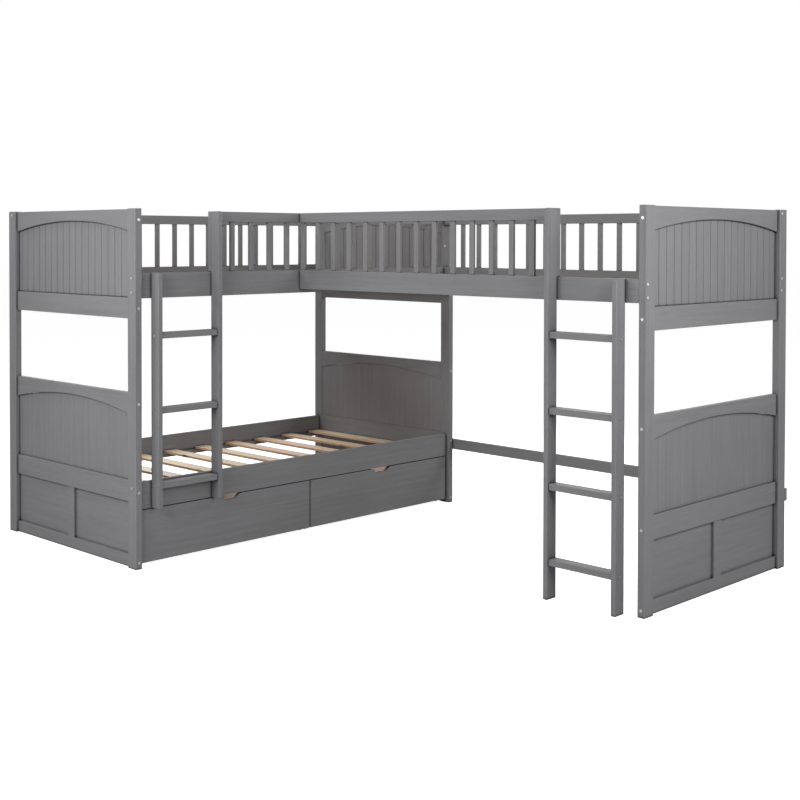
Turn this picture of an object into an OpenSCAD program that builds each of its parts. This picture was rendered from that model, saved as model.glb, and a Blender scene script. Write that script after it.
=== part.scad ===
// L-shaped bunk bed: a bunk with a lower and an upper deck, and a loft bed that
// joins it at a right angle. Millimetres, +Z up, floor at Z = 0.
// +X runs along the bunk to the corner, -Y runs out along the loft bed.
// Layout frame: X = 0 at the left end panel, Y = 0 at the front of the bunk's posts.

/* [Overall] */
// length of the bunk over its two end panels
bunk_l = 2020; // [1900:10:2200]
// width of each bed over its posts
bed_w = 1080; // [960:10:1200]
// reach of the loft bed out from the bunk's front
loft_reach = 1940; // [1840:10:2100]

/* [End panels, from the floor up] */
// gap under the foot rail
foot_gap = 2; // [1:1:10]
// height of the foot rail
foot_rail_h = 53; // [40:1:70]
// height of the flat base boards
base_h = 229; // [200:1:260]
// height of the rail beside the lower mattress
mid_rail_h = 93; // [80:1:110]
// height from the mid rail to the sill of the open window
lower_panel_h = 380; // [340:5:440]
// height of the open window
window_h = 319; // [260:1:360]
// height of the rail over the window
window_rail_h = 90; // [70:1:110]
// height from the window's rail to the top of the arched top rail
upper_panel_h = 382; // [340:1:420]
// how far the posts stand above the top rail
post_proud = 2; // [1:1:10]
// width of a post, seen from outside the panel
post_w = 60; // [50:1:75]
// thickness of a post
post_t = 32; // [28:1:40]
// set-back of the panel's rails from the posts' outer face
rail_set = 11; // [5:1:14]
// set-back of the panel's boards from the posts' outer face
board_set = 23; // [20:1:24]
// thickness of the boards
board_t = 6; // [5.5:0.5:8]
// nominal width of one tongued board
board_w = 53; // [40:1:80]
// width of the groove between two boards
groove_w = 6; // [3:0.5:9]
// depth of the groove in the boards of an upper panel
groove_d = 2; // [0.5:0.1:2.4]
// depth of the groove in the boards of a lower panel
lower_groove_d = 0.7; // [0.3:0.1:2.4]
// shift of the loft panel's boards along the panel
loft_board_shift = -19; // [-26:1:26]
// height of the arched rails at mid-span
arch_mid_h = 47; // [35:1:60]
// radius of the arched lower edge
arch_r = 2450; // [1800:50:4000]
// width of the stile between the base boards
stile_w = 54; // [40:1:80]

/* [Side rails and decks] */
// thickness of the side rails and of the guards' rails
rail_t = 22; // [18:1:24]
// set-back of the bunk's side rails from the posts' outer edge
rail_in = 19; // [15:1:19]
// height of the bunk's upper side rails
upper_rail_h = 109; // [90:1:130]
// height of the loft bed's side rails
loft_rail_h = 91; // [80:1:110]
// height of the bunk's lower side rails
lower_rail_h = 118; // [100:1:125]
// drop of the upper side rails under the top of the window's rail
upper_rail_drop = 3; // [0:1:20]
// drop of the lower side rails under the top of the mid rail
lower_rail_drop = 6; // [0:1:20]
// depth of the lower slats' top under its side rail's top
lower_deck_drop = 81; // [60:1:85]
// depth of the upper slats' tops under their side rails' top
upper_deck_drop = 52; // [40:1:60]
// width and height of the cleats that carry the slats
cleat = 20; // [15:1:22]
// thickness of a slat
slat_t = 12; // [10:1:18]
// width of a slat
slat_w = 75; // [60:1:100]
// nominal pitch of the slats
slat_pitch = 205; // [120:5:230]
// gap from the last slat to the deck's end
slat_end = 18; // [10:1:90]
// clearance at each end of a slat
slat_fit = 2; // [1:0.5:5]

/* [Guards] */
// drop of the guards' tops under the posts' tops
guard_drop = 6; // [2:1:20]
// height of a guard's top rail
guard_rail_h = 46; // [35:1:60]
// width of a picket
picket_w = 25; // [15:1:30]
// thickness of a picket
picket_t = 12; // [8:1:16]
// nominal pitch of the pickets
picket_pitch = 110; // [80:1:120]
// width of a guard's end post
end_post_w = 60; // [45:1:70]
// gap from the bunk's left end panel to the back guard's first picket
back_gap_a = 125; // [60:1:130]
// gap from the back guard's last picket to the bunk's right end panel
back_gap_b = 131; // [60:1:150]
// gap from the bunk's front to the loft back guard's first picket
loft_gap_a = 98; // [60:1:120]
// gap from the loft back guard's last picket to the loft's end panel
loft_gap_b = 130; // [60:1:140]
// gap from the bunk front guard's last picket to the bunk's right end panel
front_gap_b = 120; // [60:1:130]
// gap from the bunk front guard's end post to its first picket
bunk_post_gap = 55; // [30:1:80]
// gap from the loft front guard's end post to its first picket
loft_post_gap = 59; // [30:1:80]
// gap from the loft front guard's last picket to the bunk's front guard
corner_gap = 3; // [1:1:20]

/* [Ladders] */
// width of a ladder over its stiles
ladder_w = 343; // [300:1:400]
// thickness of a stile
stile_t = 21; // [18:1:26]
// thickness of a rung
rung_t = 26; // [20:1:30]
// depth of a stile
stile_d = 57; // [50:1:70]
// depth of a rung
rung_d = 50; // [35:1:50]
// gap from the end panel to a ladder
ladder_gap = 60; // [30:1:90]
// chamfer on the front top corner of a stile
stile_chamfer = 8; // [3:1:30]
// height of the short stile above the side rail
short_over = 2; // [0:1:20]
// height of the bunk ladder's foot above the bottom of the lower side rail
bunk_foot_up = 2; // [0:1:60]
// height of the bunk ladder's first rung above its foot
bunk_first_rung = 84; // [40:1:120]
// pitch of the bunk ladder's rungs
bunk_rung_pitch = 325; // [260:1:340]
// height of the loft ladder's first rung above the floor
loft_first_rung = 135; // [60:1:200]
// pitch of the loft ladder's rungs
loft_rung_pitch = 299; // [240:1:320]

/* [Rear stretcher and bolts] */
// thickness of the stretcher behind the loft bed
stretcher_t = 20; // [15:1:30]
// height of the stretcher
stretcher_h = 54; // [40:1:80]
// height of the stretcher's lower edge above the floor
stretcher_z = 287; // [200:1:400]
// radius of a bolt head
head_r = 6; // [4:0.5:8]
// height of a bolt head
head_h = 1.5; // [1:0.5:4]
// radius of the hex socket over its corners
socket_r = 3.4; // [2:0.1:3.5]

/* [Drawers] */
// gap from the floor to a drawer's front
drawer_floor = 19; // [12:1:30]
// gap from a drawer's front to the side rail above it
drawer_top_gap = 4; // [3:1:12]
// gap beside a drawer's front, and half of the gap between the two fronts
drawer_side_gap = 3; // [2:0.5:6]
// running gap between a drawer's front and its stops
stop_fit = 0.3; // [0.2:0.1:1]
// width of a stop
stop_w = 40; // [20:1:60]
// overlap of a stop behind a drawer's front
stop_over = 22; // [10:1:28]
// depth of a drawer's box behind its front
box_d = 700; // [500:10:850]
// thickness of a drawer's sides and back
box_t = 15; // [10:1:18]
// thickness of a drawer's bottom
bottom_t = 8; // [6:1:12]
// drop of the box's top under the front's top
box_drop = 45; // [30:1:80]
// set-in of the box's sides from the front's ends
box_in = 2; // [1:0.5:10]
// depth of the finger notch in the front's top edge
notch_d = 21; // [15:1:30]
// half-width of the notch at its bottom
notch_bottom = 24; // [15:1:40]
// half-width of the notch at the top edge
notch_top = 68; // [50:1:90]
// radius of a drawer's wheel
wheel_r = 20; // [15:1:25]
// width of a wheel
wheel_w = 14; // [8:1:20]
// clearance between a wheel and the floor
wheel_lift = 0.4; // [0.3:0.1:1]
// radius of an axle
axle_r = 4; // [3:0.5:6]
// radial clearance of an axle in its bracket
axle_fit = 0.08; // [0.05:0.01:0.1]
// thickness of a bracket's cheek
cheek_t = 3; // [2:0.5:5]
// clearance between a wheel and a cheek
cheek_fit = 1; // [0.5:0.1:2]
// distance from the box's corner to the wheel's centre, along the drawer
axle_in = 40; // [35:1:80]

/* [Hidden] */
$fn = 64;
// heights on the end panels
mid_z = foot_gap + foot_rail_h + base_h;
panel_z = mid_z + mid_rail_h;
sill_z = panel_z + lower_panel_h;
head_z = sill_z + window_h;
over_z = head_z + window_rail_h;
top_z = over_z + upper_panel_h;
post_h = top_z + post_proud;
// panels across: clear width between posts and the arch's rise
clear_w = bed_w - 2 * post_w;
arch_sag = arch_r - sqrt(arch_r * arch_r - clear_w * clear_w / 4);
board_n = round(clear_w / board_w);
board_pitch = clear_w / board_n;
board_fit = 0.5;
// the corner: the loft bed's outer side lies at loft_x
loft_x = bunk_l - bed_w;
inner_x = bunk_l - post_t;
loft_back_x = inner_x - rail_t;
loft_end_y = post_t - loft_reach;
// side rails
front_y = rail_in;
back_y = bed_w - rail_in - rail_t;
deck_z = over_z - upper_rail_drop;
deck_top = deck_z + upper_rail_h;
lower_top = panel_z - lower_rail_drop;
lower_z = lower_top - lower_rail_h;
// decks: level of the slats' undersides
lower_slat_z = lower_top - lower_deck_drop - slat_t;
upper_slat_z = deck_top - upper_deck_drop - slat_t;
// guards
guard_top = post_h - guard_drop;
guard_z = guard_top - guard_rail_h;
picket_h = guard_z - deck_top;
picket_in = (rail_t - picket_t) / 2;
// ladders
bunk_ladder_x = post_t + ladder_gap;
loft_ladder_y = loft_end_y + ladder_gap + ladder_w;
bunk_guard_x = bunk_ladder_x + ladder_w - stile_t;
loft_guard_y = loft_ladder_y - stile_t;
bunk_foot_z = lower_z + bunk_foot_up;
bunk_rungs = rung_levels(bunk_foot_z + bunk_first_rung, bunk_rung_pitch, 3);
loft_rungs = rung_levels(loft_first_rung, loft_rung_pitch, 4);
// drawers
front_w = (bunk_l - 2 * post_t) / 2 - 2 * drawer_side_gap;
front_z1 = lower_z - drawer_top_gap;
left_x = post_t + drawer_side_gap;
right_x = left_x + front_w + 2 * drawer_side_gap;
box_w = front_w - 2 * box_in;
front_t = rail_t - stop_fit;
box_y = front_y + front_t;
bottom_z = wheel_lift + 2 * wheel_r + 5;
axle_z = wheel_lift + wheel_r;
front_axle_y = box_y + axle_in;
rear_axle_y = box_y + box_d - axle_in;
// the part's origin: middle of its plan, on the floor
origin_x = (bunk_l + stretcher_t) / 2;
origin_y = (bed_w - loft_reach) / 2;

grey = [0.45, 0.46, 0.47];
pine = [0.78, 0.62, 0.42];
steel = [0.75, 0.76, 0.78];
black = [0.07, 0.07, 0.08];

// ---- shared shapes ----

module block(x0, y0, z0, x1, y1, z1) {
    translate([x0, y0, z0]) cube([x1 - x0, y1 - y0, z1 - z0]);
}

module part(c) {
    color(c) translate([-origin_x, -origin_y, 0]) children();
}

// panel frames: panel X across, panel Y inward from the outer face
module at_left() {
    translate([0, bed_w, 0]) rotate([0, 0, -90]) children();
}

module at_inner() {
    translate([bunk_l, 0, 0]) rotate([0, 0, 90]) children();
}

module at_loft() {
    translate([loft_x, -loft_reach, 0]) children();
}

module panel_posts() {
    block(0, 0, 0, post_w, post_t, post_h);
    block(bed_w - post_w, 0, 0, bed_w, post_t, post_h);
}

module panel_rail(z0, z1) {
    block(post_w, rail_set, z0, bed_w - post_w, post_t, z1);
}

// disc under the arch of a rail whose top lies at z1
module arch_disc(z1, r) {
    translate([bed_w / 2, -1, z1 - arch_mid_h - arch_r])
        rotate([-90, 0, 0]) cylinder(r = r, h = post_t + 2, $fn = 360);
}

module arched_rail(z1) {
    difference() {
        panel_rail(z1 - arch_mid_h - arch_sag - 4, z1);
        arch_disc(z1, arch_r);
    }
}

// plan of the tongued boards, moved along by shift, with a V groove of some depth at every joint, both sides
module board_plan(shift, depth) {
    x0 = post_w;
    x1 = bed_w - post_w;
    y0 = board_set;
    y1 = board_set + board_t;
    joints = [for (k = [-1:board_n])
        let (x = x0 + (k + 0.5) * board_pitch + shift)
        if (x > x0 + groove_w && x < x1 - groove_w) x];
    outer = [for (x = joints) each [[x - groove_w / 2, y0], [x, y0 + depth], [x + groove_w / 2, y0]]];
    inner = [for (k = [len(joints) - 1:-1:0])
        each [[joints[k] + groove_w / 2, y1], [joints[k], y1 - depth], [joints[k] - groove_w / 2, y1]]];
    polygon(concat([[x0, y0]], outer, [[x1, y0], [x1, y1]], inner, [[x0, y1]]));
}

// boards from z0 up to the arched rail whose top lies at z1
module boards_under_arch(z0, z1, shift, depth) {
    intersection() {
        translate([0, 0, z0]) linear_extrude(z1 - arch_mid_h - z0) board_plan(shift, depth);
        arch_disc(z1, arch_r - board_fit);
    }
}

module panel_boards(shift = 0) {
    boards_under_arch(panel_z, sill_z, shift, lower_groove_d);
    boards_under_arch(over_z, top_z, shift, groove_d);
}

module panel_base() {
    panel_rail(foot_gap, foot_gap + foot_rail_h);
    block((bed_w - stile_w) / 2, rail_set, foot_gap, (bed_w + stile_w) / 2, post_t, mid_z);
    block(post_w, board_set, foot_gap, bed_w - post_w, board_set + board_t, mid_z);
}

// a row of pickets along +X; run is the distance from the first to the last
module picket_row(run) {
    n = round(run / picket_pitch) + 1;
    for (i = [0:n - 1])
        translate([i * run / (n - 1), 0, 0]) cube([picket_w, picket_t, picket_h]);
}

// one set of slats laid along +X over a deck of length l and width w
module slat_row(l, w) {
    run = l - 2 * slat_end - slat_w;
    n = round(run / slat_pitch) + 1;
    for (i = [0:n - 1])
        translate([slat_end + i * run / (n - 1), slat_fit, 0]) cube([slat_w, w - 2 * slat_fit, slat_t]);
}

// ladder frame: ladder X across from its first stile, back at Y = 0
module stile(x, z0, z1) {
    c = stile_chamfer;
    outline = [[-stile_d, z0], [0, z0], [0, z1], [c - stile_d, z1], [-stile_d, z1 - c]];
    translate([x, 0, 0]) rotate([90, 0, 90]) linear_extrude(stile_t) polygon(outline);
}

// levels of a ladder's rungs, from z0 up
function rung_levels(z0, pitch, n) = [for (i = [0:n - 1]) z0 + i * pitch];

module rungs(levels) {
    for (z = levels)
        block(stile_t, -rung_d, z, ladder_w - stile_t, 0, z + rung_t);
}

// bolts through both stiles into the rungs' ends
module rung_heads(levels) {
    for (z = levels) {
        head_nx(0, -rung_d / 2, z + rung_t / 2);
        head_px(ladder_w, -rung_d / 2, z + rung_t / 2);
    }
}

module at_bunk_ladder() {
    translate([bunk_ladder_x, front_y, 0]) children();
}

module at_loft_ladder() {
    translate([loft_x, loft_ladder_y, 0]) rotate([0, 0, -90]) children();
}

// a bolt head standing along +Z
module head() {
    difference() {
        cylinder(r = head_r, h = head_h, $fn = 24);
        translate([0, 0, head_h / 3]) cylinder(r = socket_r, h = head_h, $fn = 6);
    }
}

// heads on faces that look along -X, +X, -Y and +Y
module head_nx(x, y, z) {
    translate([x, y, z]) rotate([0, -90, 0]) head();
}

module head_px(x, y, z) {
    translate([x, y, z]) rotate([0, 90, 0]) head();
}

module head_ny(x, y, z) {
    translate([x, y, z]) rotate([90, 0, 0]) head();
}

module head_py(x, y, z) {
    translate([x, y, z]) rotate([-90, 0, 0]) head();
}

// bolts up both outer edges of a panel, one into each rail; the right edge can
// leave out the mid rail's, where the stretcher covers it
module panel_heads(right_mid = true) {
    levels = [foot_gap + foot_rail_h / 2, mid_z + mid_rail_h / 2, sill_z - arch_mid_h,
        head_z + window_rail_h / 2, top_z - arch_mid_h];
    for (z = levels) {
        head_nx(0, post_t / 2, z);
        if (right_mid || z != levels[1])
            head_px(bed_w, post_t / 2, z);
    }
}

// ---- end panels ----

module left_posts() { part(grey) at_left() panel_posts(); }
module left_top_rail() { part(grey) at_left() arched_rail(top_z); }
module left_boards() { part(grey) at_left() panel_boards(); }
module left_window_rail() { part(grey) at_left() panel_rail(head_z, over_z); }
module left_arch_rail() { part(grey) at_left() arched_rail(sill_z); }
module left_mid_rail() { part(grey) at_left() panel_rail(mid_z, panel_z); }
module left_base() { part(grey) at_left() panel_base(); }

module inner_posts() { part(grey) at_inner() panel_posts(); }
module inner_top_rail() { part(grey) at_inner() arched_rail(top_z); }
module inner_boards() { part(grey) at_inner() panel_boards(); }
module inner_window_rail() { part(grey) at_inner() panel_rail(head_z, over_z); }
module inner_arch_rail() { part(grey) at_inner() arched_rail(sill_z); }
module inner_mid_rail() { part(grey) at_inner() panel_rail(mid_z, panel_z); }
module inner_base() { part(grey) at_inner() panel_base(); }

module loft_posts() { part(grey) at_loft() panel_posts(); }
module loft_top_rail() { part(grey) at_loft() arched_rail(top_z); }
module loft_boards() { part(grey) at_loft() panel_boards(loft_board_shift); }
module loft_window_rail() { part(grey) at_loft() panel_rail(head_z, over_z); }
module loft_arch_rail() { part(grey) at_loft() arched_rail(sill_z); }
module loft_mid_rail() { part(grey) at_loft() panel_rail(mid_z, panel_z); }
module loft_base() { part(grey) at_loft() panel_base(); }

// ---- side rails, cleats and slats ----

module bunk_front_rail() {
    part(grey) block(post_t, front_y, deck_z, inner_x, front_y + rail_t, deck_top);
}

module bunk_back_rail() {
    part(grey) block(post_t, back_y, deck_z, inner_x, back_y + rail_t, deck_top);
}

module lower_front_rail() {
    part(grey) block(post_t, front_y, lower_z, inner_x, front_y + rail_t, lower_top);
}

module lower_back_rail() {
    part(grey) block(post_t, back_y, lower_z, inner_x, back_y + rail_t, lower_top);
}

module loft_front_rail() {
    part(grey) block(loft_x, loft_end_y, deck_top - loft_rail_h, loft_x + rail_t, front_y, deck_top);
}

module loft_back_rail() {
    part(grey) block(loft_back_x, loft_end_y, deck_top - loft_rail_h, inner_x, front_y, deck_top);
}

module cleats() {
    part(grey) {
        for (z = [lower_slat_z, upper_slat_z]) {
            block(post_t, front_y + rail_t, z - cleat, inner_x, front_y + rail_t + cleat, z);
            block(post_t, back_y - cleat, z - cleat, inner_x, back_y, z);
        }
        for (x = [loft_x + rail_t, loft_back_x - cleat])
            block(x, loft_end_y, upper_slat_z - cleat, x + cleat, front_y, upper_slat_z);
    }
}

module lower_slats() {
    part(pine) translate([post_t, front_y + rail_t, lower_slat_z])
        slat_row(inner_x - post_t, back_y - front_y - rail_t);
}

module upper_slats() {
    part(pine) translate([post_t, front_y + rail_t, upper_slat_z])
        slat_row(inner_x - post_t, back_y - front_y - rail_t);
}

module loft_slats() {
    part(pine) translate([loft_back_x, loft_end_y, upper_slat_z]) rotate([0, 0, 90])
        slat_row(front_y - loft_end_y, loft_back_x - loft_x - rail_t);
}

// blocks under the lower front cleat that stop the drawers flush with the rail
module drawer_stops() {
    y = front_y + rail_t;
    part(grey) for (d = [left_x, right_x], x = [d + 60, d + front_w - 60 - stop_w])
        block(x, y, front_z1 - stop_over, x + stop_w, y + cleat, lower_slat_z - cleat);
}

// ---- guards ----

module bunk_back_guard_rail() {
    part(grey) block(post_t, back_y, guard_z, inner_x, back_y + rail_t, guard_top);
}

module bunk_back_pickets() {
    part(grey) translate([post_t + back_gap_a, back_y + picket_in, deck_top])
        picket_row(inner_x - post_t - back_gap_a - back_gap_b - picket_w);
}

module bunk_front_guard_rail() {
    part(grey) block(bunk_guard_x + end_post_w, front_y, guard_z, inner_x, front_y + rail_t, guard_top);
}

module bunk_front_pickets() {
    first = bunk_guard_x + end_post_w + bunk_post_gap;
    part(grey) translate([first, front_y + picket_in, deck_top])
        picket_row(inner_x - front_gap_b - picket_w - first);
}

module loft_front_guard_rail() {
    part(grey) block(loft_x, loft_guard_y + end_post_w, guard_z, loft_x + rail_t, front_y, guard_top);
}

module loft_front_pickets() {
    first = loft_guard_y + end_post_w + loft_post_gap;
    part(grey) translate([loft_x + picket_in + picket_t, first, deck_top]) rotate([0, 0, 90])
        picket_row(front_y - corner_gap - picket_w - first);
}

module loft_back_guard_rail() {
    part(grey) block(loft_back_x, loft_end_y, guard_z, inner_x, front_y, guard_top);
}

module loft_back_pickets() {
    part(grey) translate([loft_back_x + picket_in + picket_t, loft_end_y + loft_gap_b, deck_top])
        rotate([0, 0, 90]) picket_row(-loft_end_y - loft_gap_a - loft_gap_b - picket_w);
}

module guard_end_posts() {
    part(grey) {
        block(bunk_guard_x, front_y, deck_top, bunk_guard_x + end_post_w, front_y + rail_t, guard_top);
        block(loft_x, loft_guard_y, deck_top, loft_x + rail_t, loft_guard_y + end_post_w, guard_top);
    }
}

// ---- ladders ----

module bunk_ladder_stiles() {
    part(grey) at_bunk_ladder() {
        stile(0, bunk_foot_z, deck_top + short_over);
        stile(ladder_w - stile_t, bunk_foot_z, guard_top);
    }
}

module bunk_ladder_rungs() {
    part(grey) at_bunk_ladder() rungs(bunk_rungs);
}

module loft_ladder_stiles() {
    part(grey) at_loft_ladder() {
        stile(0, 0, guard_top);
        stile(ladder_w - stile_t, 0, deck_top + short_over);
    }
}

module loft_ladder_rungs() {
    part(grey) at_loft_ladder() rungs(loft_rungs);
}

// ---- stretcher and bolts ----

module rear_stretcher() {
    part(grey)
        block(bunk_l, -loft_reach, stretcher_z, bunk_l + stretcher_t, post_w, stretcher_z + stretcher_h);
}

// levels of the two bolts into a side rail of height h under the top z1
function rail_bolts(z1, h) = [z1 - 0.2 * h, z1 - 0.76 * h];

module bolts() {
    bunk_levels = rail_bolts(deck_top, upper_rail_h);
    loft_levels = rail_bolts(deck_top, loft_rail_h);
    lower_level = lower_top - lower_rail_h * 0.2;
    guard_level = guard_top - guard_rail_h / 4;
    front = front_y + rail_t / 2;
    back = back_y + rail_t / 2;
    part(steel) {
        at_left() panel_heads();
        at_inner() panel_heads();
        at_loft() panel_heads(false);
        for (z = concat(bunk_levels, [lower_level]))
            head_nx(0, front, z);
        for (z = concat(bunk_levels, [lower_level, guard_level]))
            head_px(bunk_l, back, z);
        for (z = concat(bunk_levels, [guard_level]))
            head_px(bunk_l, front, z);
        for (z = loft_levels, x = [loft_x, loft_back_x])
            head_ny(x + rail_t / 2, -loft_reach, z);
        head_ny(loft_back_x + rail_t / 2, -loft_reach, guard_level);
        head_nx(0, back, guard_level);
        head_nx(inner_x, post_w / 2, (deck_top + guard_z) / 2);
        for (y = [post_w / 2, post_t / 2 - loft_reach])
            head_px(bunk_l + stretcher_t, y, stretcher_z + stretcher_h / 2);
        at_bunk_ladder() rung_heads(bunk_rungs);
        at_loft_ladder() rung_heads(loft_rungs);
    }
}

// ---- drawers; X = 0 at the front's left end ----

// finger notch: two tangent arcs down each side
module notch() {
    m = front_w / 2;
    z0 = front_z1 - notch_d;
    run = notch_top - notch_bottom;
    turn = 2 * atan(notch_d / run);
    r = run / (2 * sin(turn));
    mid = (notch_top + notch_bottom) / 2;
    outline = [[-notch_top, front_z1 + 1], [-notch_top, front_z1], [-mid, front_z1 - notch_d / 2],
        [-notch_bottom, z0], [notch_bottom, z0], [mid, front_z1 - notch_d / 2], [notch_top, front_z1],
        [notch_top, front_z1 + 1]];
    difference() {
        union() {
            translate([m, front_y + front_t + 1, 0])
                rotate([90, 0, 0]) linear_extrude(front_t + 2) polygon(outline);
            for (s = [-1, 1])
                translate([m + s * notch_bottom, front_y - 1, z0 + r])
                    rotate([-90, 0, 0]) cylinder(r = r, h = front_t + 2);
        }
        for (s = [-1, 1])
            translate([m + s * notch_top, front_y - 2, front_z1 - r])
                rotate([-90, 0, 0]) cylinder(r = r, h = front_t + 4);
    }
}

module drawer_front() {
    difference() {
        block(0, front_y, drawer_floor, front_w, front_y + front_t, front_z1);
        notch();
    }
}

module drawer_box() {
    z0 = bottom_z + bottom_t;
    z1 = front_z1 - box_drop;
    y1 = box_y + box_d;
    block(box_in, box_y, z0, box_in + box_t, y1, z1);
    block(box_in + box_w - box_t, box_y, z0, box_in + box_w, y1, z1);
    block(box_in, y1 - box_t, z0, box_in + box_w, y1, z1);
}

module drawer_bottom() {
    block(box_in, box_y, bottom_z, box_in + box_w, box_y + box_d, bottom_z + bottom_t);
}

// left edges of the cheeks on one axle
function cheek_xs() = let (a = box_in + 2, b = cheek_t + wheel_w + 2 * cheek_fit)
    [a, a + b, front_w - a - cheek_t - b, front_w - a - cheek_t];

module brackets() {
    for (y = [front_axle_y, rear_axle_y], x = cheek_xs())
        difference() {
            block(x, y - 13, axle_z - 10, x + cheek_t, y + 13, bottom_z);
            translate([x - 1, y, axle_z]) rotate([0, 90, 0]) cylinder(r = axle_r + axle_fit, h = cheek_t + 2);
        }
}

// two wheels on one axle
module wheelset(y) {
    a = box_in + 1;
    w = box_in + 2 + cheek_t + cheek_fit;
    translate([a, y, axle_z]) rotate([0, 90, 0]) cylinder(r = axle_r, h = front_w - 2 * a);
    for (x = [w, front_w - w - wheel_w])
        translate([x, y, axle_z]) rotate([0, 90, 0]) cylinder(r = wheel_r, h = wheel_w);
}

module at_drawer(x) {
    translate([x, 0, 0]) children();
}

module drawer_left_front() { part(grey) at_drawer(left_x) drawer_front(); }
module drawer_left_box() { part(pine) at_drawer(left_x) drawer_box(); }
module drawer_left_bottom() { part(pine) at_drawer(left_x) drawer_bottom(); }
module drawer_left_brackets() { part(steel) at_drawer(left_x) brackets(); }
module drawer_left_front_wheels() { part(black) at_drawer(left_x) wheelset(front_axle_y); }
module drawer_left_rear_wheels() { part(black) at_drawer(left_x) wheelset(rear_axle_y); }

module drawer_right_front() { part(grey) at_drawer(right_x) drawer_front(); }
module drawer_right_box() { part(pine) at_drawer(right_x) drawer_box(); }
module drawer_right_bottom() { part(pine) at_drawer(right_x) drawer_bottom(); }
module drawer_right_brackets() { part(steel) at_drawer(right_x) brackets(); }
module drawer_right_front_wheels() { part(black) at_drawer(right_x) wheelset(front_axle_y); }
module drawer_right_rear_wheels() { part(black) at_drawer(right_x) wheelset(rear_axle_y); }

left_posts();
left_top_rail();
left_boards();
left_window_rail();
left_arch_rail();
left_mid_rail();
left_base();
inner_posts();
inner_top_rail();
inner_boards();
inner_window_rail();
inner_arch_rail();
inner_mid_rail();
inner_base();
loft_posts();
loft_top_rail();
loft_boards();
loft_window_rail();
loft_arch_rail();
loft_mid_rail();
loft_base();
bunk_front_rail();
bunk_back_rail();
lower_front_rail();
lower_back_rail();
loft_front_rail();
loft_back_rail();
cleats();
lower_slats();
upper_slats();
loft_slats();
drawer_stops();
bunk_back_guard_rail();
bunk_back_pickets();
bunk_front_guard_rail();
bunk_front_pickets();
loft_front_guard_rail();
loft_front_pickets();
loft_back_guard_rail();
loft_back_pickets();
guard_end_posts();
bunk_ladder_stiles();
bunk_ladder_rungs();
loft_ladder_stiles();
loft_ladder_rungs();
rear_stretcher();
bolts();
drawer_left_front();
drawer_left_box();
drawer_left_bottom();
drawer_left_brackets();
drawer_left_front_wheels();
drawer_left_rear_wheels();
drawer_right_front();
drawer_right_box();
drawer_right_bottom();
drawer_right_brackets();
drawer_right_front_wheels();
drawer_right_rear_wheels();
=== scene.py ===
import bmesh
import bpy
import math
from mathutils import Euler, Matrix, Vector


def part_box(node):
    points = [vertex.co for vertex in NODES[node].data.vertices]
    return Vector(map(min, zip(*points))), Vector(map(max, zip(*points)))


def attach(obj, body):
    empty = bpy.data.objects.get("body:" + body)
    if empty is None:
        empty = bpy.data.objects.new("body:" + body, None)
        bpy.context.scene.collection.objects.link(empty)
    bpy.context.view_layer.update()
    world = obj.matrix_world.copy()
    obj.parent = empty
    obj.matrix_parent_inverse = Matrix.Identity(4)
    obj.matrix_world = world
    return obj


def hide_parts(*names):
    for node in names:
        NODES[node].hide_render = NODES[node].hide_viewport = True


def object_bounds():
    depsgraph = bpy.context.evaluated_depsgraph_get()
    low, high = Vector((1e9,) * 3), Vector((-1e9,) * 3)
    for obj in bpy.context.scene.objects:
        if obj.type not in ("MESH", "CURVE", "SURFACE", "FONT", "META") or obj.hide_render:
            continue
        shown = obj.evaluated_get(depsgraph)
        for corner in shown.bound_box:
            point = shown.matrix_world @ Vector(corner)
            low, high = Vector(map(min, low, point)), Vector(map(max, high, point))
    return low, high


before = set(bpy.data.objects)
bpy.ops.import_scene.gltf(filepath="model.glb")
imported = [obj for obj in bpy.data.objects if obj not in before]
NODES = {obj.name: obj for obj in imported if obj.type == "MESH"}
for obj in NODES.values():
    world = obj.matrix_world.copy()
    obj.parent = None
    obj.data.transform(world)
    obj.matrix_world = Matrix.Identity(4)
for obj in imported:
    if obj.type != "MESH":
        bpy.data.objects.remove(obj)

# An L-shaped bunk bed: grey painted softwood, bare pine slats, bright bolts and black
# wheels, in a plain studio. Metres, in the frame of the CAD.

CAD_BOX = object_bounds()
COLLECTION = bpy.context.scene.collection

# ---- sizes ----

# how far the edges are eased, by kind of piece
BOARD_EDGE = 0.0004
FITTING_EDGE = 0.0005
THIN_EDGE = 0.0012
THICK_EDGE = 0.0020

WHEEL_R = 0.020
WHEEL_W = 0.014
# gap between a wheel and the end of its axle
WHEEL_INSET = 0.005
AXLE_R = 0.004
AXLE_CHAMFER = 0.0008

SCREW_R = 0.0040
SCREW_TOP_R = 0.0036
SCREW_H = 0.0008
# length, width and height of a bar of a screw's cross
SCREW_BAR = (0.0044, 0.0010, 0.0003)
# heights of the middles of the head and the cross over the slat
SCREW_HEAD_Z = 0.0002
SCREW_BAR_Z = 0.0007
# distance of a screw from the end of its slat
SCREW_INSET = 0.009

FLOOR_SIZE = 120

# ---- colours, linear ----

# each ramp is a list of (place, colour)
PAINT_GRAIN = [(0.30, (0.231, 0.230, 0.237)), (0.52, (0.250, 0.249, 0.257)), (0.74, (0.267, 0.266, 0.274))]
PAINT_CLOUDS = [(0.3, (0.94, 0.94, 0.94)), (0.7, (1.0, 1.0, 1.0))]
PAINT_PORES = [(0.35, (0.80, 0.80, 0.80)), (0.5, (1.0, 1.0, 1.0))]
# lighter edges: partly wear, partly a painted highlight
PAINT_WORN_AND_HIGHLIT = (0.40, 0.40, 0.41)
# painted shade for gaps and inner corners
PAINT_SHADE_IN_JOINTS = (0.035, 0.035, 0.037)

SLAT_TONES = ((0.99, 0.84, 0.66), (0.92, 0.71, 0.53))
BOX_TONES = ((0.94, 0.86, 0.84), (0.89, 0.79, 0.76))
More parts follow.
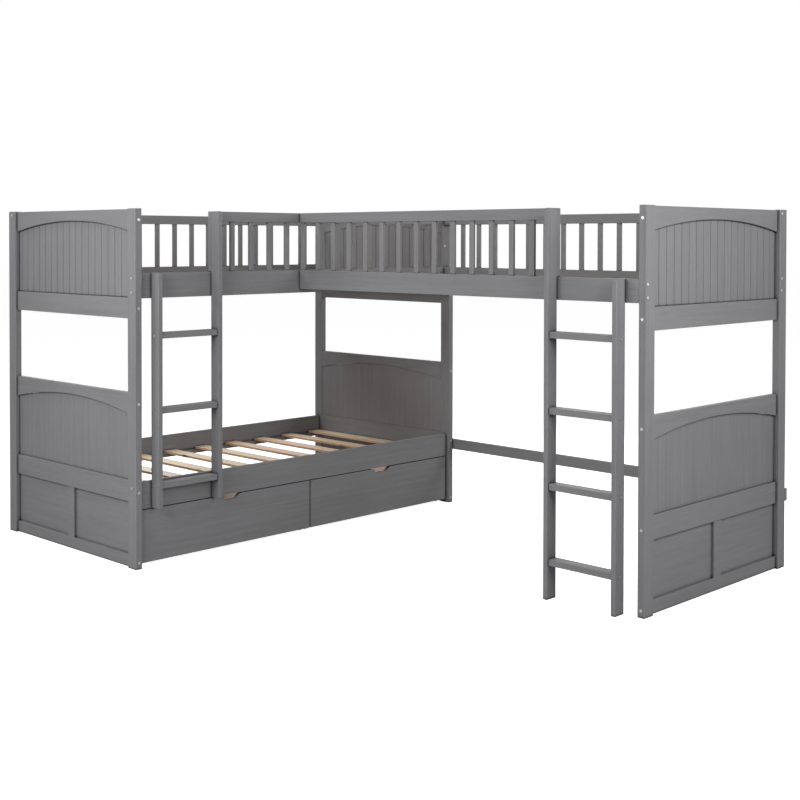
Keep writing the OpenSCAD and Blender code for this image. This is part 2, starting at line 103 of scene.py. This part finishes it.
# tints that tell one slat or board from the next
BOARD_TINTS = [(0.0, (0.76, 0.60, 0.52)), (0.3, (1.04, 0.91, 0.86)),
               (0.6, (0.94, 0.92, 0.80)), (1.0, (1.04, 1.02, 0.98))]
PINE_FIBRES = [(0.35, (0.80, 0.74, 0.66)), (0.55, (1.0, 1.0, 1.0))]
PINE_KNOT = (0.16, 0.075, 0.03)
# painted shade for the upright sides of the slats
PINE_SIDE_SHADE = (0.66, 0.50, 0.38)

ZINC = [(0.3, (0.56, 0.56, 0.58)), (0.7, (0.70, 0.71, 0.73))]
# painted shade along the rims of steel pieces
ZINC_RIM_SHADE = (0.06, 0.06, 0.06)
BLACK = [(0.4, (0.012, 0.012, 0.013)), (0.75, (0.030, 0.030, 0.032))]
BLACK_SCUFFED = (0.09, 0.09, 0.09)

# ---- painted shade in joints, gaps and inner corners ----

# settings of the painted shade: the reach of the gaps that count, the openness at which a joint starts to
# take painted shade and at which it is fully dark, and the share of that shade left on the lower half of
# the bed
FRAME_PAINTED_SHADE = (0.020, 0.85, 0.35, 1.0)
BOARD_PAINTED_SHADE = (0.008, 0.97, 0.60, 0.45)
# heights between which the lower half's share grows to 1
LOW, HIGH = 0.75, 1.05

# ---- studio ----

# area lights: name, watts, bearing in degrees, distance from the middle, height
SOFTBOXES = [
    ("left", 26.7, 170, 3.2, 2.0),
    ("front_left", 39.0, 190, 3.2, 2.0),
    ("front", 41.5, 260, 3.2, 2.0),
    ("front_right", 28.5, 300, 5.0, 2.0),
    ("right", 30.5, 330, 2.6, 2.6),
    ("over_back", 68.0, 120, 3.8, 4.2),
    ("back", 20.0, 80, 3.8, 1.8),
    ("back_right", 24.0, 20, 3.8, 1.8),
]
SOFTBOX_SIZE = 1.4
SOFTBOX_AIM = Vector((0, 0, 0.8))
WORLD_STRENGTH = 0.04
# the floor's grey as it lights the bed, and its paleness and glow to the camera
FLOOR_GREY = 0.62
FLOOR_PALE = 0.90
FLOOR_GLOW = 0.955

# the camera as solved from the photograph: lengths in pixels, place in metres, turns in degrees
PHOTO_SIDE = 800
FOCAL_PIXELS = 1270.6
CENTRE_PIXEL = (399.19, 263.02)
CAMERA_PLACE = (-4.09497, -4.16453, 1.41606)
CAMERA_BEARING, CAMERA_DIP, CAMERA_ROLL = -45.525, 1.034, 0.103
# width of the sensor in millimetres, and how far the camera sees
SENSOR = 36.0
VIEW_DEPTH = 60.0


# ---- node helpers ----

class Tree:
    """A material's node tree with one Principled shader."""

    def __init__(self, name):
        self.material = bpy.data.materials.new(name)
        self.material.use_nodes = True
        self.nt = self.material.node_tree
        self.nt.nodes.clear()
        out = self.add("ShaderNodeOutputMaterial")
        self.bsdf = self.add("ShaderNodeBsdfPrincipled")
        self.link(self.bsdf.outputs["BSDF"], out.inputs["Surface"])

    def add(self, kind, **settings):
        node = self.nt.nodes.new(kind)
        for key, value in settings.items():
            setattr(node, key, value)
        return node

    def link(self, a, b):
        self.nt.links.new(a, b)

    def put(self, value, socket):
        """Links value to the socket where it is a socket itself, and else sets it there."""
        if isinstance(value, bpy.types.NodeSocket):
            self.link(value, socket)
        else:
            socket.default_value = (*value, 1) if isinstance(value, tuple) else value

    def coords(self, scale=(1, 1, 1), offset=(0, 0, 0)):
        """Object coordinates, scaled: the pattern stays on the piece as it moves."""
        source = self.add("ShaderNodeTexCoord")
        mapping = self.add("ShaderNodeMapping")
        mapping.inputs["Scale"].default_value = scale
        mapping.inputs["Location"].default_value = offset
        self.link(source.outputs["Object"], mapping.inputs["Vector"])
        return mapping.outputs["Vector"]

    def height(self, vector):
        """The Z of a vector."""
        parts = self.add("ShaderNodeSeparateXYZ")
        self.link(vector, parts.inputs["Vector"])
        return parts.outputs["Z"]

    def noise(self, vector, scale=1.0, detail=4.0, rough=0.55, distort=0.0):
        n = self.add("ShaderNodeTexNoise")
        n.inputs["Scale"].default_value = scale
        n.inputs["Detail"].default_value = detail
        n.inputs["Roughness"].default_value = rough
        n.inputs["Distortion"].default_value = distort
        self.link(vector, n.inputs["Vector"])
        return n.outputs["Fac"]

    def ramp(self, fac, stops):
        r = self.add("ShaderNodeValToRGB")
        while len(r.color_ramp.elements) < len(stops):
            r.color_ramp.elements.new(0.5)
        for element, (place, colour) in zip(r.color_ramp.elements, stops):
            element.position = place
            element.color = (*colour, 1)
        self.link(fac, r.inputs["Fac"])
        return r.outputs["Color"]

    def remap(self, fac, a, b, lo, hi):
        """Maps a..b of fac to lo..hi, clamped."""
        m = self.add("ShaderNodeMapRange")
        for i, limit in enumerate((a, b, lo, hi), 1):
            m.inputs[i].default_value = limit
        self.link(fac, m.inputs["Value"])
        return m.outputs["Result"]

    def mix(self, kind, fac, a, b):
        """Blends colours a and b; each is a socket or a colour."""
        m = self.add("ShaderNodeMix", data_type="RGBA", blend_type=kind)
        # inputs 6 and 7 are the node's two colours
        for value, socket in ((fac, m.inputs["Factor"]), (a, m.inputs[6]), (b, m.inputs[7])):
            self.put(value, socket)
        return m.outputs[2]

    def math(self, operation, a, b=0.0):
        m = self.add("ShaderNodeMath", operation=operation)
        for value, socket in zip((a, b), m.inputs):
            self.put(value, socket)
        return m.outputs["Value"]

    def edges(self, radius):
        """1 along the edges of the shape, 0 on its flats."""
        bevel = self.add("ShaderNodeBevel", samples=4)
        bevel.inputs["Radius"].default_value = radius
        geometry = self.add("ShaderNodeNewGeometry")
        dot = self.add("ShaderNodeVectorMath", operation="DOT_PRODUCT")
        self.link(bevel.outputs["Normal"], dot.inputs[0])
        self.link(geometry.outputs["True Normal"], dot.inputs[1])
        return self.remap(dot.outputs["Value"], 0.995, 0.80, 0.0, 1.0)

    def joints(self, reach, open_at, shut_at):
        """A mask for painted shade: 1 deep in gaps and along inner corners, 0 on open faces."""
        nearby = self.add("ShaderNodeAmbientOcclusion", samples=8)
        nearby.inputs["Distance"].default_value = reach
        return self.remap(nearby.outputs["AO"], open_at, shut_at, 0.0, 1.0)

    def upright(self, share):
        """share on upright faces, 0 on level ones."""
        normal = self.add("ShaderNodeTexCoord").outputs["Normal"]
        return self.remap(self.math("ABSOLUTE", self.height(normal)), 0.85, 0.30, 0.0, share)

    def bumps(self, *layers):
        """Chains (height, strength, distance) layers into the shader's normal."""
        last = None
        for height, strength, distance in layers:
            bump = self.add("ShaderNodeBump")
            bump.inputs["Strength"].default_value = strength
            bump.inputs["Distance"].default_value = distance
            self.link(height, bump.inputs["Height"])
            if last:
                self.link(last, bump.inputs["Normal"])
            last = bump.outputs["Normal"]
        self.link(last, self.bsdf.inputs["Normal"])


def stretched(axis, along, across):
    """Scale of a grain that runs along axis 0, 1 or 2."""
    return tuple(along if i == axis else across for i in range(3))


# ---- materials ----

def paint(name, axis, joints):
    """Matt grey paint over planed softwood, with the grain faintly showing."""
    reach, open_at, shut_at, low_share = joints
    t = Tree(name)
    grain = t.noise(t.coords(stretched(axis, 1.6, 46.0)), detail=6.0, rough=0.62, distort=0.15)
    pores = t.noise(t.coords(stretched(axis, 14.0, 420.0)), detail=3.0, rough=0.6)
    cloud = t.noise(t.coords(offset=(3.1, 1.7, 0.4)), 2.3, detail=3.0, rough=0.5)
    orange_peel = t.noise(t.coords(), 900.0, detail=2.0, rough=0.5)
    base = t.ramp(grain, PAINT_GRAIN)
    base = t.mix("MULTIPLY", 1.0, base, t.ramp(cloud, PAINT_CLOUDS))
    base = t.mix("MULTIPLY", 0.35, base, t.ramp(pores, PAINT_PORES))
    # lighter edges, partly wear and partly a painted highlight along them
    worn_and_highlit = t.math("MULTIPLY", t.edges(0.0030), t.remap(cloud, 0.25, 0.75, 0.10, 0.40))
    base = t.mix("MIX", worn_and_highlit, base, PAINT_WORN_AND_HIGHLIT)
    # painted shade in gaps and inner corners, with less of it on the lower half of the bed
    share = t.remap(t.height(t.coords()), LOW, HIGH, low_share, 1.0)
    dark = t.math("MULTIPLY", t.joints(reach, open_at, shut_at), share)
    base = t.mix("MIX", dark, base, PAINT_SHADE_IN_JOINTS)
    t.link(base, t.bsdf.inputs["Base Color"])
    t.link(t.remap(grain, 0.3, 0.7, 0.46, 0.60), t.bsdf.inputs["Roughness"])
    t.bsdf.inputs["Specular IOR Level"].default_value = 0.06
    t.bumps((grain, 0.25, 0.0006), (pores, 0.20, 0.0003), (orange_peel, 0.08, 0.0002))
    return t.material


def pine(name, axis, pitch, tones, seed, side_shade_share):
    """Bare planed pine. The row's pitch gives each board a tint of its own.

    The upright faces are darker by the share given last: a painted shade on the sides of the slats.
    """
    t = Tree(name)
    warp = t.coords(stretched(axis, 0.9, 18.0), (seed, seed * 0.7, seed * 1.3))
    rings = t.noise(warp, detail=5.0, rough=0.58, distort=0.7)
    stripes = t.math("FRACT", t.math("MULTIPLY", rings, 7.0))
    fibre = t.noise(t.coords(stretched(axis, 9.0, 360.0)), detail=3.0, rough=0.6)

    knots = t.add("ShaderNodeTexVoronoi", feature="SMOOTH_F1")
    knots.inputs["Scale"].default_value = 1.0
    knots.inputs["Smoothness"].default_value = 0.2
    knots.inputs["Randomness"].default_value = 1.0
    t.link(t.coords(stretched(axis, 2.6, 7.0), (seed, 0.3, 0.1)), knots.inputs["Vector"])
    knot = t.remap(knots.outputs["Distance"], 0.10, 0.045, 0.0, 1.0)

    board = t.add("ShaderNodeVectorMath", operation="SNAP")
    t.link(t.coords(offset=(seed, seed, 0)), board.inputs[0])
    board.inputs[1].default_value = pitch
    tint = t.add("ShaderNodeTexWhiteNoise", noise_dimensions="3D")
    t.link(board.outputs["Vector"], tint.inputs["Vector"])

    light, dark = tones
    base = t.mix("MIX", t.remap(stripes, 0.0, 1.0, 0.0, 0.75), light, dark)
    base = t.mix("MULTIPLY", 0.60, base, t.ramp(tint.outputs["Value"], BOARD_TINTS))
    base = t.mix("MULTIPLY", 0.4, base, t.ramp(fibre, PINE_FIBRES))
    base = t.mix("MIX", knot, base, PINE_KNOT)
    # painted shade: the upright sides of the slats are darker, as if shadowed
    if side_shade_share:
        base = t.mix("MULTIPLY", t.upright(side_shade_share), base, PINE_SIDE_SHADE)
    t.link(base, t.bsdf.inputs["Base Color"])
    t.link(t.remap(fibre, 0.3, 0.7, 0.36, 0.50), t.bsdf.inputs["Roughness"])
    t.bsdf.inputs["Specular IOR Level"].default_value = 1.0
    t.bumps((stripes, 0.12, 0.0004), (fibre, 0.35, 0.0003))
    return t.material


def steel():
    """Zinc-plated steel with fine turning marks and painted shade along its rims."""
    t = Tree("zinc_plated_steel")
    mottle = t.noise(t.coords(), 260.0, detail=3.0, rough=0.6)
    marks = t.noise(t.coords((900, 900, 900)), detail=2.0, rough=0.5)
    # painted shade along the rims, as of a head sitting in a recess
    rim_shade_mask = t.math("MULTIPLY", t.edges(0.0009), 0.7)
    t.link(t.mix("MIX", rim_shade_mask, t.ramp(mottle, ZINC), ZINC_RIM_SHADE), t.bsdf.inputs["Base Color"])
    t.bsdf.inputs["Metallic"].default_value = 1.0
    t.link(t.remap(mottle, 0.3, 0.7, 0.38, 0.54), t.bsdf.inputs["Roughness"])
    t.bumps((marks, 0.10, 0.0001))
    return t.material


def plastic():
    """Black moulded plastic, scuffed on its edges."""
    t = Tree("black_moulded_plastic")
    grain = t.noise(t.coords(), 1400.0, detail=2.0, rough=0.5)
    scuff = t.noise(t.coords(), 60.0, detail=5.0, rough=0.65)
    scuffed = t.math("MULTIPLY", t.edges(0.0015), 0.4)
    t.link(t.mix("MIX", scuffed, t.ramp(scuff, BLACK), BLACK_SCUFFED), t.bsdf.inputs["Base Color"])
    t.link(t.remap(scuff, 0.3, 0.7, 0.38, 0.60), t.bsdf.inputs["Roughness"])
    t.bumps((grain, 0.15, 0.0001))
    return t.material


# one paint for each way that the grain can run, and one for the panels' boards
PAINT = [paint(f"grey_paint_{'xyz'[axis]}", axis, FRAME_PAINTED_SHADE) for axis in range(3)]
BOARD_PAINT = paint("grey_paint_boards", 2, BOARD_PAINTED_SHADE)
SLATS_Y = pine("pine_slats_y", 1, (0.205, 40.0, 40.0), SLAT_TONES, 5.3, 0.9)
SLATS_X = pine("pine_slats_x", 0, (40.0, 0.2018, 40.0), SLAT_TONES, 2.9, 0.9)
BOX_X = pine("pine_boards_x", 0, (0.6, 0.6, 0.6), BOX_TONES, 1.7, 0)
BOX_Y = pine("pine_boards_y", 1, (0.6, 0.6, 0.6), BOX_TONES, 7.1, 0)
STEEL = steel()
PLASTIC = plastic()


def is_fitting(node):
    return node == "bolts" or "brackets" in node


def long_axis(node):
    lo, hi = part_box(node)
    size = hi - lo
    return max(range(3), key=lambda i: size[i])


def look(node):
    """The material for one CAD node."""
    if is_fitting(node):
        return STEEL
    if node in ("lower_slats", "upper_slats"):
        return SLATS_Y
    if node == "loft_slats":
        return SLATS_X
    if node.endswith("_bottom"):
        return BOX_X
    if node.endswith("_box"):
        return BOX_Y
    if node.endswith("boards"):
        return BOARD_PAINT
    if node.endswith(("posts", "pickets", "stiles")):
        return PAINT[2]
    if node.startswith("bunk_ladder"):
        return PAINT[0]
    if node.startswith("loft_ladder"):
        return PAINT[1]
    return PAINT[long_axis(node)]


def edge_width(node):
    """How far the edges of one CAD node are eased."""
    if node.endswith("boards"):
        return BOARD_EDGE
    if is_fitting(node):
        return FITTING_EDGE
    if node.endswith(("slats", "_box", "_bottom", "pickets")):
        return THIN_EDGE
    return THICK_EDGE


def soften(node):
    """Eases a CAD node's edges for the eye, with modifiers alone."""
    o = NODES[node]
    weld = o.modifiers.new("weld", "WELD")
    weld.merge_threshold = 0.00002
    flat = o.modifiers.new("flat", "DECIMATE")
    flat.decimate_type = "DISSOLVE"
    flat.angle_limit = math.radians(0.1)
    bevel = o.modifiers.new("ease", "BEVEL")
    bevel.width = edge_width(node)
    bevel.segments = 2
    bevel.limit_method = "ANGLE"
    bevel.angle_limit = math.radians(35)
    normals = o.modifiers.new("normals", "WEIGHTED_NORMAL")
    normals.keep_sharp = True


for name, o in NODES.items():
    for s in o.material_slots:
        s.material = look(name)
    # the wheels' own pieces stand in for these nodes
    if "wheels" not in name:
        soften(name)


def add_piece(name, mesh, body, slot, *nodes):
    """A visible piece on a CAD body, in place of the CAD nodes named, if any."""
    o = bpy.data.objects.new(name, mesh)
    COLLECTION.objects.link(o)
    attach(o, body)
    if nodes:
        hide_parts(*nodes)


# ---- wheels ----

def lathe(name, outline, centre, material, steps):
    """Turns an outline of (x along the axle, radius) about the X axis."""
    bm = bmesh.new()
    turns = [2 * math.pi * k / steps for k in range(steps)]
    rings = [[bm.verts.new((x, r * math.cos(a), r * math.sin(a))) for a in turns] for x, r in outline]
    for a, b in zip(rings, rings[1:]):
        for k in range(steps):
            after = (k + 1) % steps
            face = bm.faces.new((a[k], a[after], b[after], b[k]))
            face.smooth = True
    bm.faces.new(reversed(rings[0]))
    bm.faces.new(rings[-1])
    bmesh.ops.recalc_face_normals(bm, faces=bm.faces)
    mesh = bpy.data.meshes.new(name)
    bm.to_mesh(mesh)
    bm.free()
    mesh.transform(Matrix.Translation(centre))
    mesh.materials.append(material)
    return mesh


# one side of a wheel from its hub to its rim, as (x from that side, radius): hub,
# dished web and rounded tyre
WHEEL_SIDE = [(0.0015, AXLE_R), (0.0015, 0.0065), (0.0028, 0.0070), (0.0028, 0.0140), (0.0008, 0.0150),
              (0.0002, 0.0165), (0.0, 0.0180), (0.0006, 0.0193), (0.0022, WHEEL_R)]
WHEEL = WHEEL_SIDE + [(WHEEL_W - x, r) for x, r in reversed(WHEEL_SIDE)]

for side in ("left", "right"):
    for end in ("front", "rear"):
        node = f"drawer_{side}_{end}_wheels"
        body = f"drawer_{side}_{end}_axle"
        lo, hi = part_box(node)
        y, z = (lo.y + hi.y) / 2, (lo.z + hi.z) / 2
        for tag, x in (("a", lo.x + WHEEL_INSET), ("b", hi.x - WHEEL_INSET - WHEEL_W)):
            name = f"drawer_{side}_{end}_wheel_{tag}"
            add_piece(name, lathe(name, WHEEL, (x, y, z), PLASTIC, 64), body, "wheel", node)
        length = hi.x - lo.x
        rod = [(0.0, AXLE_R - AXLE_CHAMFER), (AXLE_CHAMFER, AXLE_R),
               (length - AXLE_CHAMFER, AXLE_R), (length, AXLE_R - AXLE_CHAMFER)]
        name = f"drawer_{side}_{end}_rod"
        add_piece(name, lathe(name, rod, (lo.x, y, z), STEEL, 32), body, "steel", node)


# ---- screws in the slats ----

def slat_middles(node, across):
    """Middles of the slats of a node along their row, read from its mesh."""
    sides = sorted({round(v.co[across], 4) for v in NODES[node].data.vertices})
    return [(a + b) / 2 for a, b in zip(sides[::2], sides[1::2])]


def add_screws(name, node, across):
    """One piece with a cross-head screw at each end of each slat."""
    along = 1 - across
    lo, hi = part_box(node)
    bar_size = Matrix.Diagonal((*SCREW_BAR, 1))
    bm = bmesh.new()
    for middle in slat_middles(node, across):
        for end in (lo[along] + SCREW_INSET, hi[along] - SCREW_INSET):
            place = Vector((0, 0, hi.z))
            place[across], place[along] = middle, end
            head = bmesh.ops.create_cone(bm, cap_ends=True, segments=20, radius1=SCREW_R,
                                         radius2=SCREW_TOP_R, depth=SCREW_H)
            bmesh.ops.translate(bm, verts=head["verts"], vec=place + Vector((0, 0, SCREW_HEAD_Z)))
            on_head = Matrix.Translation(place + Vector((0, 0, SCREW_BAR_Z)))
            for turn in (0, math.pi / 2):
                # each screw was driven to an angle of its own
                turned = Matrix.Rotation(turn + middle * 9, 4, "Z")
                bmesh.ops.create_cube(bm, size=1.0, matrix=on_head @ turned @ bar_size)
    mesh = bpy.data.meshes.new(name)
    bm.to_mesh(mesh)
    bm.free()
    mesh.materials.append(STEEL)
    add_piece(name, mesh, "frame", "steel")


add_screws("lower_slat_screws", "lower_slats", 0)
add_screws("upper_slat_screws", "upper_slats", 0)
add_screws("loft_slat_screws", "loft_slats", 1)


# ---- camera ----

def add_camera():
    """The photograph's camera."""
    centre_x, centre_y = CENTRE_PIXEL
    data = bpy.data.cameras.new("camera")
    data.sensor_width = SENSOR
    data.lens = FOCAL_PIXELS / PHOTO_SIDE * SENSOR
    data.shift_x = (PHOTO_SIDE / 2 - centre_x) / PHOTO_SIDE
    data.shift_y = (centre_y - PHOTO_SIDE / 2) / PHOTO_SIDE
    data.clip_end = VIEW_DEPTH
    o = bpy.data.objects.new("camera", data)
    COLLECTION.objects.link(o)
    aim = Euler((math.radians(90 - CAMERA_DIP), 0, math.radians(CAMERA_BEARING))).to_matrix().to_4x4()
    roll = Matrix.Rotation(math.radians(CAMERA_ROLL), 4, "Z")
    o.matrix_world = Matrix.Translation(CAMERA_PLACE) @ aim @ roll
    bpy.context.scene.camera = o


# ---- light, floor and background ----

def add_softbox(name, watts, bearing, reach, height):
    """A square area light aimed at the middle of the bed; the camera doesn't see it."""
    data = bpy.data.lights.new(name, "AREA")
    data.shape = "SQUARE"
    data.size = SOFTBOX_SIZE
    data.energy = watts
    o = bpy.data.objects.new(name, data)
    COLLECTION.objects.link(o)
    o.visible_camera = False
    angle = math.radians(bearing)
    place = Vector((reach * math.cos(angle), reach * math.sin(angle), height))
    o.location = place
    o.rotation_euler = (place - SOFTBOX_AIM).to_track_quat("Z", "Y").to_euler()


def add_world():
    """A dim, even light, and plain white where the lens or a gloss looks at it."""
    world = bpy.data.worlds.new("studio")
    bpy.context.scene.world = world
    world.use_nodes = True
    nt = world.node_tree
    nt.nodes.clear()
    out = nt.nodes.new("ShaderNodeOutputWorld")
    mix = nt.nodes.new("ShaderNodeMixShader")
    soft = nt.nodes.new("ShaderNodeBackground")
    soft.inputs["Color"].default_value = (0.97, 0.985, 1.0, 1)
    soft.inputs["Strength"].default_value = WORLD_STRENGTH
    white = nt.nodes.new("ShaderNodeBackground")
    white.inputs["Color"].default_value = (1, 1, 1, 1)
    white.inputs["Strength"].default_value = 1.0
    path = nt.nodes.new("ShaderNodeLightPath")
    seen = path.outputs["Is Camera Ray"]
    for ray in ("Is Glossy Ray", "Is Transmission Ray"):
        either = nt.nodes.new("ShaderNodeMath")
        either.operation = "MAXIMUM"
        nt.links.new(seen, either.inputs[0])
        nt.links.new(path.outputs[ray], either.inputs[1])
        seen = either.outputs[0]
    nt.links.new(seen, mix.inputs["Fac"])
    nt.links.new(soft.outputs[0], mix.inputs[1])
    nt.links.new(white.outputs[0], mix.inputs[2])
    nt.links.new(mix.outputs[0], out.inputs["Surface"])


def add_floor():
    """A grey floor that the camera sees as near white, with the object's shadow."""
    bpy.ops.mesh.primitive_plane_add(size=FLOOR_SIZE)
    o = bpy.context.object
    o.name = "floor"
    material = bpy.data.materials.new("pale_floor")
    material.use_nodes = True
    nt = material.node_tree
    nt.nodes.clear()
    out = nt.nodes.new("ShaderNodeOutputMaterial")
    lit = nt.nodes.new("ShaderNodeBsdfDiffuse")
    lit.inputs["Color"].default_value = (FLOOR_GREY, FLOOR_GREY, FLOOR_GREY, 1)
    pale = nt.nodes.new("ShaderNodeBsdfDiffuse")
    pale.inputs["Color"].default_value = (FLOOR_PALE, FLOOR_PALE, FLOOR_PALE, 1)
    glow = nt.nodes.new("ShaderNodeEmission")
    glow.inputs["Color"].default_value = (1, 1, 1, 1)
    glow.inputs["Strength"].default_value = FLOOR_GLOW
    both = nt.nodes.new("ShaderNodeAddShader")
    mix = nt.nodes.new("ShaderNodeMixShader")
    path = nt.nodes.new("ShaderNodeLightPath")
    nt.links.new(pale.outputs[0], both.inputs[0])
    nt.links.new(glow.outputs[0], both.inputs[1])
    nt.links.new(path.outputs["Is Camera Ray"], mix.inputs["Fac"])
    nt.links.new(lit.outputs[0], mix.inputs[1])
    nt.links.new(both.outputs[0], mix.inputs[2])
    nt.links.new(mix.outputs[0], out.inputs["Surface"])
    o.data.materials.append(material)


add_camera()
add_world()
for softbox in SOFTBOXES:
    add_softbox(*softbox)
add_floor()
bpy.context.scene.view_settings.view_transform = "Standard"

lo, hi = CAD_BOX
